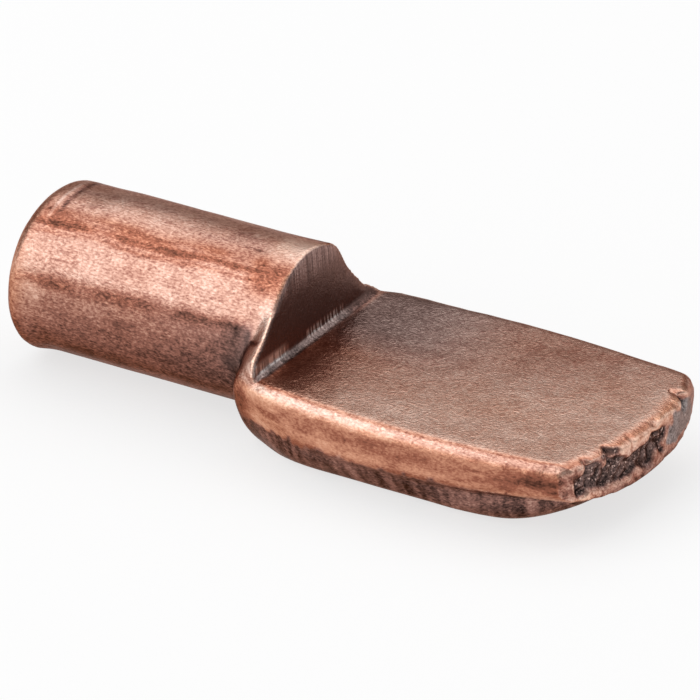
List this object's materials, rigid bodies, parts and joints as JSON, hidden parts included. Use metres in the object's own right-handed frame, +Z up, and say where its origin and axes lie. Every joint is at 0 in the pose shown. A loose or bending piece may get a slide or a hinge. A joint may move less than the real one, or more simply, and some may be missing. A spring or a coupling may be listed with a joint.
{
  "type": "shelf support pin",
  "caption": "Spoon-shaped shelf support pin: a round pin for a hole in a cabinet's side, pressed at the other end into a flat paddle that carries the shelf.",
  "frame": {"origin": "on the pin's axis, in the plane of the shoulder that meets the cabinet's side", "axes": "+X out of the cabinet's side, along the paddle; +Z up, out of the seat that carries the shelf; -X along the pin into its hole"},
  "size_m": [0.02, 0.008, 0.0051],
  "materials": {
    "antique_copper": "antique copper plating on steel, brown in the hollows and worn bright along the edges"
  },
  "bodies": {
    "root": {"shelf_support_pin": "antique_copper"}
  },
  "joints": []
}
